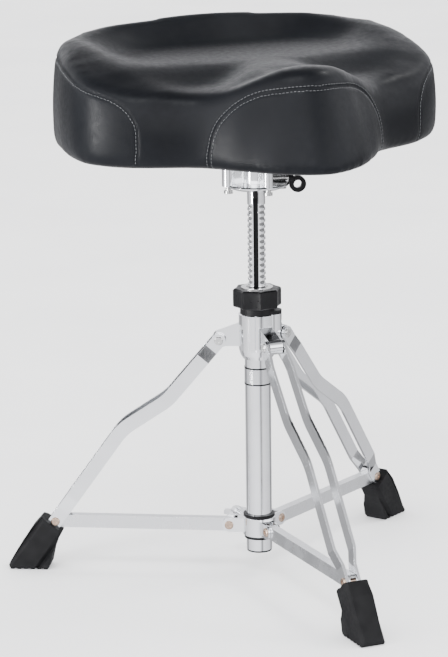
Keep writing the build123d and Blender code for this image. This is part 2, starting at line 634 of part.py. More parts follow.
# ---------------------------------------------------------------- the assembly
def make_nodes():
    nodes = {
        "base_tube": base_tube(),
        "tube_plug": tube_plug(),
        "top_casting": top_casting(),
        "guide_bushing": guide_bushing(),
        "rod_key": rod_key(),
        "lock_screw": lock_screw(),
        "badge_band": badge_band(),
        "badge_rings": badge_rings(),
        "threaded_rod": threaded_rod(),
        "nut_grip": nut_grip(),
        "nut_insert": nut_insert(),
        "collar": collar(),
        "collar_bushing_top": collar_bushing(54, COLLAR_TOP, COLLAR_TOP + 3.2, 17.6),
        "collar_bushing_bottom": collar_bushing(54, COLLAR_BOTTOM, COLLAR_BOTTOM - 2.6, 16.6),
        "wing_bolt": wing_bolt(),
        "seat_cover": seat_cover(),
        "seat_foam": seat_foam(),
        "seat_board": seat_board(),
        "bottom_cloth": bottom_cloth(),
        "tee_nuts": tee_nuts(),
        "seat_bolts": seat_bolts(),
        "seat_bracket": seat_bracket(),
        "clamp_screw": clamp_screw(),
        "clamp_key": clamp_key(),
    }
    bar = leg_bar()
    leg_pieces = {
        "leg_bar_a": bar,
        "leg_bar_b": mirror(bar, Plane.XZ),
        "top_stubs": top_stubs(),
        "hinge_bush": hinge_bush(),
        "foot_rivet": foot_rivet(),
        "collar_rivet": collar_rivet(),
        "stay": stay(),
        "rubber_foot": rubber_foot(),
    }
    for leg, azimuth in LEG_AZIMUTHS.items():
        for piece, shape in leg_pieces.items():
            solids = shape if isinstance(shape, list) else [shape]
            nodes[f"{leg}_{piece}"] = [around(azimuth, solid) for solid in solids]
    return nodes


def write(nodes):
    os.makedirs("parts", exist_ok=True)
    for name, shape in nodes.items():
        solids = shape if isinstance(shape, list) else [shape]
        whole = Compound(children=solids) if len(solids) > 1 else solids[0]
        export_step(whole, f"parts/{name}.step")


write(make_nodes())
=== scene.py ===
import json
import math
import bpy
import numpy as np
from mathutils import Matrix, Vector
from mathutils.bvhtree import BVHTree
from mathutils.kdtree import KDTree


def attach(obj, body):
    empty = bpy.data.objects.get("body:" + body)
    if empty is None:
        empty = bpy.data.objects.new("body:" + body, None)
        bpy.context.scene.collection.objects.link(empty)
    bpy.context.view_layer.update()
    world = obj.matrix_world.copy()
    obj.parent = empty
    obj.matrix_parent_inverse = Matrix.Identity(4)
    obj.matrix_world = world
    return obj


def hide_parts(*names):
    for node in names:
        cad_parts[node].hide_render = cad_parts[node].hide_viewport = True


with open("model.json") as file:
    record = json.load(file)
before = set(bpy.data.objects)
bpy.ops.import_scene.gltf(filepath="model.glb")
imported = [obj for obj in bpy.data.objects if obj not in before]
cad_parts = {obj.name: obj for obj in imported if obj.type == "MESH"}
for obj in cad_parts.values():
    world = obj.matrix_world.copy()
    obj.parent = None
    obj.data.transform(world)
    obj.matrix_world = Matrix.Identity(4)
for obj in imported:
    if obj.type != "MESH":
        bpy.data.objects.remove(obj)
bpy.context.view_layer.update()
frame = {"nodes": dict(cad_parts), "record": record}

NODES = frame["nodes"]
LEGS = ("front", "right", "left")
MM = 0.001
OUTSIDE = 0.4               # a distance from the axis that clears the seat
CURVE_STEPS = 24            # points that a smooth curve gets between two given ones


# ---------------------------------------------------------------- materials
def add_node(tree, kind, inputs, settings):
    """A new shader node. An input is either a value or the socket that feeds it."""
    made = tree.nodes.new("ShaderNode" + kind)
    for key, value in settings.items():
        setattr(made, key, value)
    for key, value in inputs.items():
        if isinstance(value, bpy.types.NodeSocket):
            tree.links.new(value, made.inputs[key])
        else:
            made.inputs[key].default_value = value
    return made


class Paint:
    """A node material with a Principled shader and a few helpers to wire it."""

    def __init__(self, name, **values):
        self.material = bpy.data.materials.new(name)
        self.material.use_nodes = True
        self.tree = self.material.node_tree
        self.shader = self.tree.nodes["Principled BSDF"]
        for key, value in values.items():
            self.shader.inputs[key.replace("_", " ")].default_value = value
        self.place = self.tree.nodes.new("ShaderNodeTexCoord").outputs["Object"]

    def node(self, kind, inputs, **settings):
        return add_node(self.tree, kind, inputs, settings)

    def stretch(self, scale):
        """Object coordinates, scaled differently along each axis."""
        return self.node("Mapping", {"Vector": self.place, "Scale": scale}).outputs["Vector"]

    def noise(self, scale, detail=3.0, vector=None, distortion=0.0):
        made = self.node("TexNoise", {"Vector": vector or self.place, "Scale": scale,
                                      "Detail": detail, "Distortion": distortion})
        return made.outputs["Fac"]

    def ramp(self, value, low, high, at=(0.3, 0.7)):
        """A value between at[0] and at[1], turned into one between low and high."""
        made = self.node("MapRange", {"Value": value, "From Min": at[0], "From Max": at[1],
                                      "To Min": low, "To Max": high})
        return made.outputs["Result"]

    def colours(self, value, dark, light, at=(0.35, 0.65)):
        """A value between at[0] and at[1], turned into a colour between dark and light."""
        made = self.node("ValToRGB", {"Fac": value})
        stops = made.color_ramp.elements
        stops[0].position, stops[0].color = at[0], (*dark, 1)
        stops[1].position, stops[1].color = at[1], (*light, 1)
        return made.outputs["Color"]

    def math(self, kind, a, b=0.0):
        """One sum on sockets or numbers."""
        return self.node("Math", {0: a, 1: b}, operation=kind).outputs[0]

    def bump(self, height, strength, distance, under=None):
        """Surface relief, on top of the relief given as under."""
        inputs = {"Height": height, "Strength": strength, "Distance": distance}
        if under is not None:
            inputs["Normal"] = under
        return self.node("Bump", inputs).outputs["Normal"]

    def soft_edges(self, radius):
        return self.node("Bevel", {"Radius": radius}, samples=4).outputs["Normal"]

    def set(self, key, socket):
        """Feeds a socket into the shader."""
        self.tree.links.new(socket, self.shader.inputs[key])


def plated(name, tone, rough, grain=1.0):
    """Bright plating: faint ripples, fine polishing lines and handling haze."""
    paint = Paint(name, Metallic=1.0)
    haze = paint.noise(38.0, 4.0)
    lines = paint.noise(900.0, 2.0, paint.stretch((1, 1, 0.05)))
    paint.set("Base Color", paint.colours(haze, [c * 0.93 for c in tone], tone))
    paint.set("Roughness", paint.math("ADD", paint.ramp(haze, rough * 0.7, rough * 1.5),
                                      paint.ramp(lines, -0.015, 0.02)))
    ripples = paint.bump(paint.noise(95.0, 1.0), 0.08 * grain, 0.4 * MM, paint.soft_edges(0.35 * MM))
    paint.set("Normal", paint.bump(lines, 0.05 * grain, 0.05 * MM, ripples))
    return paint.material


def moulded(name, dark, light, rough, grain_scale, grain, specular, edge=0.5 * MM):
    """Moulded plastic or rubber: fine spark-eroded grain and slight colour change."""
    paint = Paint(name, Specular_IOR_Level=specular)
    cloud = paint.noise(60.0, 4.0)
    paint.set("Base Color", paint.colours(cloud, dark, light))
    paint.set("Roughness", paint.ramp(paint.noise(240.0, 3.0), rough - 0.07, rough + 0.08))
    spark = paint.noise(grain_scale, 2.0)
    paint.set("Normal", paint.bump(spark, grain, 0.12 * MM, paint.soft_edges(edge)))
    return paint.material


def vinyl():
    """Satin black vinyl with a fine pebble grain and faint stretch marks."""
    paint = Paint("black_vinyl", Specular_IOR_Level=0.10, Sheen_Weight=0.05, Sheen_Roughness=0.35)
    paint.set("Base Color", paint.colours(paint.noise(9.0, 5.0), (0.0024, 0.0028, 0.0038),
                                          (0.0044, 0.0050, 0.0064)))
    cells = paint.node("TexVoronoi", {"Vector": paint.place, "Scale": 780.0, "Randomness": 1.0},
                       feature="DISTANCE_TO_EDGE").outputs["Distance"]
    pebble = paint.ramp(cells, 0.0, 1.0, (0.02, 0.35))
    wrinkle = paint.noise(34.0, 4.0, paint.stretch((1.0, 1.0, 0.35)), 0.6)
    paint.set("Roughness", paint.ramp(paint.noise(160.0, 4.0), 0.34, 0.46))
    paint.set("Normal", paint.bump(pebble, 0.16, 0.10 * MM, paint.bump(wrinkle, 0.045, 1.2 * MM)))
    return paint.material


# the screw's keyway and thread, in the rod's own frame
KEYWAY_AZIMUTH = math.radians(240)
KEYWAY_HALF_WIDTH = 2.75 * MM
KEYWAY_FROM = 3 * MM                    # from the axis outwards
THREAD_ROOT, THREAD_FLANK = 8.6 * MM, 9.6 * MM
UNSHADED_FROM = 7.6 * MM                   # the thread's roots carry no painted shade beside the keyway, this far out


def rod_paint():
    """Chromed screw with painted shade: its keyway and the roots of its thread are coloured near black, and
    made less metallic and rougher.
    """
    paint = Paint("screw_chrome", Specular_IOR_Level=0.08)
    split = paint.node("SeparateXYZ", {0: paint.place})
    x, y = split.outputs["X"], split.outputs["Y"]
    cos, sin = math.cos(KEYWAY_AZIMUTH), math.sin(KEYWAY_AZIMUTH)
    along = paint.math("ADD", paint.math("MULTIPLY", x, cos), paint.math("MULTIPLY", y, sin))
    across = paint.math("ABSOLUTE", paint.math("SUBTRACT", paint.math("MULTIPLY", x, sin),
                                               paint.math("MULTIPLY", y, cos)))
    inside = paint.math("MULTIPLY", paint.math("LESS_THAN", across, KEYWAY_HALF_WIDTH),
                        paint.math("GREATER_THAN", along, KEYWAY_FROM))
    radius = paint.math("SQRT", paint.math("ADD", paint.math("MULTIPLY", x, x), paint.math("MULTIPLY", y, y)))
    root = paint.math("MULTIPLY", paint.ramp(radius, 1.0, 0.0, (THREAD_ROOT, THREAD_FLANK)), 0.75)
    speckle = paint.ramp(paint.noise(700.0, 3.0), 0.94, 1.0)
    # painted shade: near black in the keyway, a little varied by the speckle, and in the roots of the thread
    # away from the keyway
    painted_shade = paint.math("MAXIMUM", paint.math("MULTIPLY", inside, speckle),
                       paint.math("MULTIPLY", root, paint.math("LESS_THAN", along, UNSHADED_FROM)))
    unshaded = paint.math("SUBTRACT", 1.0, painted_shade)
    paint.set("Base Color", paint.colours(painted_shade, (0.80, 0.81, 0.82), (0.005, 0.005, 0.0055), (0.0, 0.9)))
    paint.set("Metallic", paint.ramp(unshaded, 0.0, 1.0, (0.0, 0.6)))
    paint.set("Roughness", paint.ramp(painted_shade, 0.12, 0.5, (0.0, 1.0)))
    paint.set("Normal", paint.bump(paint.noise(120.0, 2.0), 0.08, 0.4 * MM, paint.soft_edges(0.25 * MM)))
    return paint.material


def lining():
    """Black non-woven cloth under the seat."""
    paint = Paint("lining_cloth", Specular_IOR_Level=0.2, Sheen_Weight=0.25)
    fibres = paint.noise(1400.0, 4.0, paint.stretch((1, 0.3, 1)))
    across = paint.noise(1400.0, 4.0, paint.stretch((0.3, 1, 1)))
    mix = paint.math("MAXIMUM", fibres, across)
    paint.set("Base Color", paint.colours(mix, (0.008, 0.008, 0.009), (0.035, 0.035, 0.038)))
    paint.set("Roughness", paint.ramp(mix, 0.85, 1.0))
    paint.set("Normal", paint.bump(mix, 0.5, 0.3 * MM))
    return paint.material


def thread_paint():
    """Pale grey sewing thread with a twist."""
    paint = Paint("stitch_thread", Specular_IOR_Level=0.3)
    twist = paint.noise(2600.0, 2.0)
    paint.set("Base Color", paint.colours(twist, (0.045, 0.047, 0.050), (0.115, 0.118, 0.122)))
    paint.set("Roughness", paint.ramp(twist, 0.6, 0.85))
    paint.set("Normal", paint.bump(twist, 0.4, 0.1 * MM))
    return paint.material


def wood():
    """Plywood stained black."""
    paint = Paint("plywood", Specular_IOR_Level=0.3)
    grain = paint.noise(60.0, 5.0, paint.stretch((1, 9, 40)), 0.8)
    paint.set("Base Color", paint.colours(grain, (0.010, 0.008, 0.006), (0.026, 0.020, 0.015)))
    paint.set("Roughness", paint.ramp(grain, 0.55, 0.8))
    paint.set("Normal", paint.bump(grain, 0.3, 0.3 * MM))
    return paint.material


def floor_paint():
    """Matt white studio floor."""
    paint = Paint("studio_floor", Specular_IOR_Level=0.25)
    paint.set("Base Color", paint.colours(paint.noise(3.0, 4.0), (0.86, 0.86, 0.865), (0.90, 0.90, 0.90)))
    paint.set("Roughness", paint.ramp(paint.noise(60.0, 3.0), 0.55, 0.7))
    paint.set("Normal", paint.bump(paint.noise(400.0, 2.0), 0.05, 0.3 * MM))
    return paint.material


CHROME = plated("polished_chrome", (0.80, 0.81, 0.82), 0.10)
SATIN = plated("satin_chrome", (0.74, 0.75, 0.76), 0.24, grain=1.6)
STEEL = plated("plated_steel", (0.62, 0.62, 0.61), 0.22)
RIVET = plated("rivet_steel", (0.47, 0.35, 0.27), 0.26)
BADGE = plated("badge_metal", (0.66, 0.67, 0.68), 0.20)
BLACKS = (0.0025, 0.0025, 0.003), (0.005, 0.005, 0.0055)
NYLON = moulded("black_nylon", *BLACKS, 0.40, 1500.0, 0.18, 0.15)
PLASTIC = moulded("black_plastic", *BLACKS, 0.34, 1300.0, 0.15, 0.16)
RUBBER = moulded("charcoal_rubber", (0.0035, 0.0035, 0.004), (0.007, 0.007, 0.0075), 0.58, 1100.0, 0.30,
                 0.14, edge=1.2 * MM)
VINYL = vinyl()
LINING = lining()
THREAD = thread_paint()
WOOD = wood()
SCREW = rod_paint()

SLOT_PAINT = {"chrome": CHROME, "plated_steel": STEEL, "black_nylon": NYLON, "black_plastic": PLASTIC,
              "rubber": RUBBER, "badge_metal": BADGE, "vinyl": VINYL, "plywood": WOOD,
              "lining_cloth": LINING, "foam": LINING}


def dress(name, material):
    """Gives one CAD node its material."""
    obj = NODES[name]
    if not obj.material_slots:
        obj.data.materials.append(material)
    for slot in obj.material_slots:
        slot.material = material


def dress_frame():
    """Every CAD node takes the detailed material of its slot in the record."""
    for row in frame["record"]["subparts"]:
        dress(row["node"], SLOT_PAINT[row["material_slot"]])
    for leg in LEGS:
        dress(leg + "_stay", SATIN)
        dress(leg + "_foot_rivet", RIVET)
        dress(leg + "_collar_rivet", RIVET)
    dress("threaded_rod", SCREW)


# ---------------------------------------------------------------- mesh helpers
def add_mesh(name, verts, faces, material):
    """A new smooth-shaded object."""
    mesh = bpy.data.meshes.new(name)
    mesh.from_pydata([tuple(v) for v in verts], [], faces)
    mesh.validate()
    mesh.update()
    mesh.polygons.foreach_set("use_smooth", [True] * len(mesh.polygons))
    mesh.materials.append(material)
    obj = bpy.data.objects.new(name, mesh)
    bpy.context.scene.collection.objects.link(obj)
    return obj


def apply_modifiers(obj):
    """Bakes an object's modifiers into its mesh."""
    graph = bpy.context.evaluated_depsgraph_get()
    baked = bpy.data.meshes.new_from_object(obj.evaluated_get(graph))
    obj.modifiers.clear()
    obj.data = baked


def spline_point(a, b, c, d, t):
    """A point between b and c on the smooth curve through a, b, c and d."""
    return 0.5 * (2 * b + (c - a) * t + (2 * a - 5 * b + 4 * c - d) * t**2 + (3 * b - a - 3 * c + d) * t**3)


def easy_curve(keys):
    """A smooth function through (position, value) keys, level at both ends."""
    x = np.array([k[0] for k in keys], float)
    y = np.array([k[1] for k in keys], float)
    slope = np.diff(y) / np.diff(x)
    tangent = np.zeros(len(x))
    for i in range(1, len(x) - 1):
        if slope[i - 1] * slope[i] > 0:
            tangent[i] = 2 * slope[i - 1] * slope[i] / (slope[i - 1] + slope[i])

    def value(at):
        at = np.clip(at, x[0], x[-1])
        i = np.clip(np.searchsorted(x, at, side="right") - 1, 0, len(x) - 2)
        width = x[i + 1] - x[i]
        t = (at - x[i]) / width
        return ((2 * t**3 - 3 * t**2 + 1) * y[i] + (t**3 - 2 * t**2 + t) * width * tangent[i]
                + (3 * t**2 - 2 * t**3) * y[i + 1] + (t**3 - t**2) * width * tangent[i + 1])
    return value


# ---------------------------------------------------------------- seat shape
# In millimetres. Directions are angles from the nose (0) round each side to the back (180).
OUTLINE = [(0, -192), (42, -174), (78, -136), (112, -94), (170, -64), (208, -24), (212, 22),
           (204, 68), (191, 106), (140, 141), (72, 149), (0, 150)]
# height of the rim, how far the rim and the top of the wall lie inside the outline, and the drop between them
CREST_Z = easy_curve([(0, 590), (12, 587), (24, 577), (38, 565), (50, 559.5), (58, 559), (66, 561.5),
                      (75, 567.5), (85, 577), (96, 588), (106, 596.5), (120, 603.5), (140, 609), (180, 613)])
CREST_IN = easy_curve([(0, 50), (14, 44), (30, 26), (50, 19), (70, 19), (90, 14), (120, 13), (180, 12)])
WALL_IN = easy_curve([(0, 30), (18, 25), (34, 12), (52, 4), (75, 2), (110, 3), (180, 4)])
SHOULDER = easy_curve([(0, 20), (30, 18), (60, 17), (90, 18), (120, 20), (180, 22)])
# where the pan starts to rise to the rim, as a part of the way out
RISE_FROM = easy_curve([(0, 0.52), (30, 0.55), (50, 0.48), (75, 0.42), (95, 0.52), (118, 0.64), (145, 0.68),
                        (180, 0.66)])
BOTTOM_Z = easy_curve([(0, 480.6), (30, 482), (50, 485), (110, 487), (180, 486)])
BOWL_PLACE = (106, -52)     # middle of each thigh bowl
BOWL_SIZE = (74, 54)        # half its width and half its length
BOWL_DEPTH = 3.5
BOWL_POWER = 1.3            # how steep its sides are
BOWL_FADE = 0.22            # the part of the way out over which it dies away at the rim
PAN_Z = 578.0
PAN_BLUR = 0.13             # evens the pan out round its centre
WALL_BULGE = 2.5
HEM_R = 6.5                 # radius of the cover's lower edge
UNDER_Z = 480.8
TUCK = (7.2, 7.6, 9)        # how far the last points of the hem and the first of the underside lie in
TURNS = 220
PAN_ROWS, SHOULDER_ROWS, WALL_ROWS, HEM_ROWS = 25, 9, 17, 5
UNDER_ROWS = (0.0, 0.04, 0.12, 0.3, 0.55, 0.8)
PUFF_ROOM = 0.6             # how much smaller the seat is before it is puffed


def outline_radius():
    """Distance from the seat's centre to its plan outline, as a function of direction in degrees."""
    loop = OUTLINE + [(-x, y) for x, y in reversed(OUTLINE[1:-1])]
    loop = np.array(loop, float)
    points = []
    for i in range(len(loop)):
        a, b, c, d = (loop[(i + k) % len(loop)] for k in (-1, 0, 1, 2))
        points += [spline_point(a, b, c, d, t) for t in np.linspace(0, 1, CURVE_STEPS, endpoint=False)]
    points = np.array(points)
    angle = np.degrees(np.arctan2(points[:, 0], -points[:, 1])) % 360
    order = np.argsort(angle)
    angle = angle[order]
    radius = np.hypot(points[:, 0], points[:, 1])[order]
    return lambda at: np.interp(at % 360, angle, radius, period=360)


RADIUS = outline_radius()


def ease(t):
    """From 0 to 1, level at both ends."""
    return t * t * (3 - 2 * t)


def steps(count):
    """Even steps from just above 0 up to 1."""
    return np.linspace(0, 1, count + 1)[1:]


def seat_column(angle, slim):
    """Points (distance from the axis, height) down one side, from the pan's centre to the underside's."""
    side = abs((angle + 180) % 360 - 180)
    radius = RADIUS(angle)
    crest_r, crest_z = radius - CREST_IN(side) - slim, CREST_Z(side) - slim
    wall_r, drop = radius - WALL_IN(side), SHOULDER(side)
    bottom_z, rise = BOTTOM_Z(side), RISE_FROM(side)
    points = []
    for t in steps(PAN_ROWS):
        s = np.clip((t - rise) / (1 - rise), 0, 1) if crest_z > PAN_Z else t
        points.append((crest_r * t, PAN_Z - slim + (crest_z - PAN_Z + slim) * ease(s)))
    for t in steps(SHOULDER_ROWS):
        turn = t * math.pi / 2
        points.append((crest_r + (wall_r - crest_r) * math.sin(turn), crest_z - drop * (1 - math.cos(turn))))
    top_z = crest_z - drop
    for t in steps(WALL_ROWS):
        z = top_z + (bottom_z + HEM_R - top_z) * t
        bulge = (WALL_BULGE - slim) * math.sin(math.pi * t)
        points.append((wall_r + (radius - wall_r) * t + bulge, z))
    for t in steps(HEM_ROWS):
        turn = t * math.pi / 2
        points.append((radius - HEM_R * (1 - math.cos(turn)), bottom_z + HEM_R * (1 - math.sin(turn))))
    points += [(radius - TUCK[0], (bottom_z + UNDER_Z) / 2), (radius - TUCK[1], UNDER_Z + 0.4)]
    return points + [((radius - TUCK[2]) * (1 - t), UNDER_Z) for t in UNDER_ROWS]


def hollow_pan(columns):
    """Evens out the pan round its centre and sinks the two thigh bowls into it."""
    waves = np.arange(TURNS // 2 + 1)
    out = (np.arange(PAN_ROWS) + 1) / PAN_ROWS
    for k, t in enumerate(out):
        blur = PAN_BLUR * (1 - t) / t
        spectrum = np.fft.rfft(columns[:, k, 1]) * np.exp(-0.5 * (waves * blur) ** 2)
        columns[:, k, 1] = np.fft.irfft(spectrum, TURNS)
    turn = np.radians(360.0 * np.arange(TURNS) / TURNS)[:, None]
    reach = columns[:, :PAN_ROWS, 0]
    across = (np.abs(reach * np.sin(turn)) - BOWL_PLACE[0]) / BOWL_SIZE[0]
    along = (-reach * np.cos(turn) - BOWL_PLACE[1]) / BOWL_SIZE[1]
    hollow = np.clip(1 - across**2 - along**2, 0, 1) ** BOWL_POWER
    columns[:, :PAN_ROWS, 1] -= BOWL_DEPTH * hollow * np.clip((1 - out) / BOWL_FADE, 0, 1)


def seat_form(name, slim):
    """Closed mesh of the padded seat before the cover is puffed up, all round smaller by slim."""
    columns = np.array([seat_column(360.0 * i / TURNS, slim) for i in range(TURNS)])
    hollow_pan(columns)
    rows = len(columns[0])
    verts = [(0, 0, (PAN_Z - slim) * MM)]
    for i, column in enumerate(columns):
        a = 2 * math.pi * i / TURNS
        verts += [(r * math.sin(a) * MM, -r * math.cos(a) * MM, z * MM) for r, z in column]
    verts.append((0, 0, UNDER_Z * MM))
    last = len(verts) - 1
    faces = []
    for i in range(TURNS):
        here, there = 1 + i * rows, 1 + ((i + 1) % TURNS) * rows
        faces.append((0, here, there))
        for k in range(rows - 1):
            faces.append((here + k, here + k + 1, there + k + 1, there + k))
        faces.append((here + rows - 1, last, there + rows - 1))
    return add_mesh(name, verts, faces, VINYL)


# ---------------------------------------------------------------- seams
def both_ways(path):
    """A run given from the hem to the middle, carried on to the hem on the other side."""
    middle = path[-1][0]
    return path + [(2 * middle - a, z) for a, z in reversed(path[:-1])]


# (direction, height) of the seam round the back and of the nose panel's seam, each from the hem
BACK_SEAM = both_ways([(69.0, 487), (68.0, 505), (68.5, 525), (71.0, 541), (75.0, 552), (81.5, 560),
                       (90.0, 567), (102.0, 576), (116.0, 582), (134.0, 586), (156.0, 588), (180.0, 589)])
HORN_SEAM = both_ways([(-44.5, 484), (-43.5, 505), (-41.0, 527), (-35.0, 545), (-26.0, 559), (-15.0, 566),
                       (0.0, 569)])
LINE_STEP = 2 * MM          # between the points that stand for a seam
PRESS_STEP = 0.8 * MM       # the same, where the cover is drawn in
SEAM_DEPTH, SEAM_WIDTH = 1.4 * MM, 1.7 * MM
ROW_OFFSET = 2.9 * MM       # between a seam and the row of stitches beside it
ROW_REACH = 3               # a row's direction is taken over this many points each way
STITCH, STITCH_GAP, THREAD_R = 2.9 * MM, 1.1 * MM, 0.36 * MM
STITCH_LIFT = (-0.25, 0.75, 0.75, -0.25)    # height and thickness along a stitch, in thread radii
STITCH_FAT = (0.55, 1.0, 1.0, 0.55)
THREAD_SIDES = 6


def smooth_path(points):
    """A dense curve through the given points."""
    points = np.array(points, float)
    ends = np.vstack([2 * points[0] - points[1], points, 2 * points[-1] - points[-2]])
    out = []
    for i in range(1, len(ends) - 2):
        a, b, c, d = ends[i - 1:i + 3]
        out += [spline_point(a, b, c, d, t) for t in np.linspace(0, 1, CURVE_STEPS, endpoint=False)]
    out.append(points[-1])
    return np.array(out)


def facing(normal, way):
    """The normal, turned so that it points the given way."""
    return normal if normal.dot(way) > 0 else -normal


def on_wall(tree, path):
    """Points where rays from the axis meet the seat's wall, with the wall's outward direction."""
    spots = []
    for angle, z in smooth_path(path):
        a = math.radians(angle)
        out = Vector((math.sin(a), -math.cos(a), 0))
        hit, normal, _, _ = tree.ray_cast(out * OUTSIDE + Vector((0, 0, z * MM)), -out)
        if hit is not None:
            spots.append((hit, facing(normal, out)))
    return spots


def evenly(spots, step):
    """Re-spaces (point, normal) pairs at an even distance."""
    lengths = [0.0]
    for (p, _), (q, _) in zip(spots, spots[1:]):
        lengths.append(lengths[-1] + (q - p).length)
    count = max(2, int(lengths[-1] / step))
    out = []
    k = 0
    for i in range(count + 1):
        at = lengths[-1] * i / count
        while k < len(lengths) - 2 and lengths[k + 1] < at:
            k += 1
        span = max(lengths[k + 1] - lengths[k], 1e-9)
        t = (at - lengths[k]) / span
        p = spots[k][0].lerp(spots[k + 1][0], t)
        n = spots[k][1].lerp(spots[k + 1][1], t).normalized()
        out.append((p, n))
    return out


def shifted(tree, spots, distance):
    """The same line moved sideways along the surface."""
    out = []
    last = len(spots) - 1
    for i, (p, _) in enumerate(spots):
        first, final = max(i - ROW_REACH, 0), min(i + ROW_REACH, last)
        n = sum((spots[k][1] for k in range(first, final + 1)), Vector()).normalized()
        side = n.cross(spots[final][0] - spots[first][0]).normalized()
        hit, normal, _, _ = tree.find_nearest(p + side * distance)
        out.append((hit, facing(normal, n)))
    return out


def stitches(name, lines):
    """Short tapered threads that dip into the cover at both ends."""
    verts, faces = [], []
    count = len(STITCH_LIFT)
    for spots in lines:
        marks = evenly(spots, (STITCH + STITCH_GAP) / count)
        for k in range(0, len(marks) - count, count):
            run = marks[k:k + count]
            start = len(verts)
            for j, (p, n) in enumerate(run):
                ahead = (run[min(j + 1, count - 1)][0] - run[max(j - 1, 0)][0]).normalized()
                side = n.cross(ahead)
                lift, fat = STITCH_LIFT[j] * THREAD_R, STITCH_FAT[j] * THREAD_R
                for c in range(THREAD_SIDES):
                    turn = 2 * math.pi * c / THREAD_SIDES
                    verts.append(p + n * (lift + fat * math.sin(turn)) + side * fat * math.cos(turn))
            for j in range(count - 1):
                here = start + j * THREAD_SIDES
                for c in range(THREAD_SIDES):
                    d = (c + 1) % THREAD_SIDES
                    faces.append((here + c, here + d, here + THREAD_SIDES + d, here + THREAD_SIDES + c))
            faces.append(tuple(start + c for c in range(THREAD_SIDES)))
            end = start + (count - 1) * THREAD_SIDES
            faces.append(tuple(end + c for c in reversed(range(THREAD_SIDES))))
    return add_mesh(name, verts, faces, THREAD)


def finder(lines, step):
    """A search tree of points along the lines."""
    marks = [p for spots in lines for p, _ in evenly(spots, step)]
    tree = KDTree(len(marks))
    for i, p in enumerate(marks):
        tree.insert(p, i)
    tree.balance()
    return tree


def press_seams(obj, lines):
    """Draws the cover in along each seam."""
    tree = finder(lines, PRESS_STEP)
    mesh = obj.data
    normals = [v.normal.copy() for v in mesh.vertices]
    for v, n in zip(mesh.vertices, normals):
        _, _, far = tree.find(v.co)
        if far < SEAM_WIDTH * 3:
            v.co -= n * SEAM_DEPTH * math.exp(-(far / SEAM_WIDTH) ** 2)
    mesh.update()


# ---------------------------------------------------------------- cloth simulation
VOXEL = 5 * MM
HEM_TOP_Z = 0.490           # the cover is held fast below this height
HOLD_REACH = 5 * MM         # and this near to a seam, fading out
HOLD_LEAST = 0.05
PRESSURE = 4.0
FRAMES = 20
PUFF_CAP = 4 * MM           # the farthest that a point may move
SPREAD_ROUNDS = 14
SMOOTH_ROUNDS = 9


def spread(mesh, moves):
    """Evens out how far neighbouring points move, so that the cover swells without puckers."""
    ends = np.array([e.vertices[:] for e in mesh.edges])
    ends = np.vstack([ends, ends[:, ::-1]])
    count = np.bincount(ends[:, 0], minlength=len(moves))[:, None]
    for _ in range(SPREAD_ROUNDS):
        total = np.stack([np.bincount(ends[:, 0], moves[ends[:, 1], k], len(moves)) for k in range(3)], 1)
        moves = 0.5 * moves + 0.5 * total / count
    return moves


def puff(obj, lines):
    """Cloth simulation of the cover under the foam's pressure, held along its seams and hem."""
    remesh = obj.modifiers.new("even", "REMESH")
    remesh.mode = "VOXEL"
    remesh.voxel_size = VOXEL
    apply_modifiers(obj)
    mesh = obj.data
    start = [v.co.copy() for v in mesh.vertices]
    tree = finder(lines, LINE_STEP)
    held = obj.vertex_groups.new(name="held")
    for v in mesh.vertices:
        _, _, far = tree.find(v.co)
        grip = 1.0 if v.co.z < HEM_TOP_Z else math.exp(-(far / HOLD_REACH) ** 2)
        if grip > HOLD_LEAST:
            held.add([v.index], grip, "REPLACE")
    cloth = obj.modifiers.new("cloth", "CLOTH")
    settings = cloth.settings
    settings.use_pressure = True
    settings.uniform_pressure_force = PRESSURE
    settings.tension_stiffness = 30
    settings.compression_stiffness = 30
    settings.bending_stiffness = 1.5
    settings.vertex_group_mass = "held"
    settings.pin_stiffness = 2.0
    cloth.collision_settings.use_collision = False
    cloth.collision_settings.use_self_collision = False
    settings.effector_weights.gravity = 0
    scene = bpy.context.scene
    for number in range(1, FRAMES + 1):
        scene.frame_set(number)
    graph = bpy.context.evaluated_depsgraph_get()
    puffed = obj.evaluated_get(graph).to_mesh()
    moved = [v.co.copy() for v in puffed.vertices]
    obj.modifiers.clear()
    moves = []
    for a, b in zip(start, moved):
        move = b - a
        if move.length > PUFF_CAP:
            move *= PUFF_CAP / move.length
        moves.append(move)
    for v, a, move in zip(mesh.vertices, start, spread(mesh, np.array(moves))):
        v.co = a + Vector(move)
    scene.frame_set(1)
    obj.vertex_groups.clear()


def finish_cover(obj):
    """Smooths the cover and divides it once."""
    even = obj.modifiers.new("even", "SMOOTH")
    even.factor = 0.5
    even.iterations = SMOOTH_ROUNDS
    finer = obj.modifiers.new("finer", "SUBSURF")
    finer.levels = finer.render_levels = 1
    apply_modifiers(obj)
    obj.data.polygons.foreach_set("use_smooth", [True] * len(obj.data.polygons))


def seat_seams(cushion):
    """The cover's search tree, and its two seams as points on it."""
    tree = BVHTree.FromObject(cushion, bpy.context.evaluated_depsgraph_get())
    return tree, [on_wall(tree, BACK_SEAM), on_wall(tree, HORN_SEAM)]


def make_seat():
    """The puffed cushion with its seams and stitches, in place of the CAD cover and foam."""
    cushion = seat_form("seat_cushion", slim=PUFF_ROOM)
    puff(cushion, seat_seams(cushion)[1])
    finish_cover(cushion)
    press_seams(cushion, seat_seams(cushion)[1])
    tree, (back, horn) = seat_seams(cushion)
    rows = [shifted(tree, evenly(back, LINE_STEP), -ROW_OFFSET)]
    rows += [shifted(tree, evenly(horn, LINE_STEP), side * ROW_OFFSET) for side in (-1, 1)]
    thread = stitches("seat_stitching", rows)
    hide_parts("seat_cover", "seat_foam")
    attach(cushion, "seat")
    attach(thread, "seat")


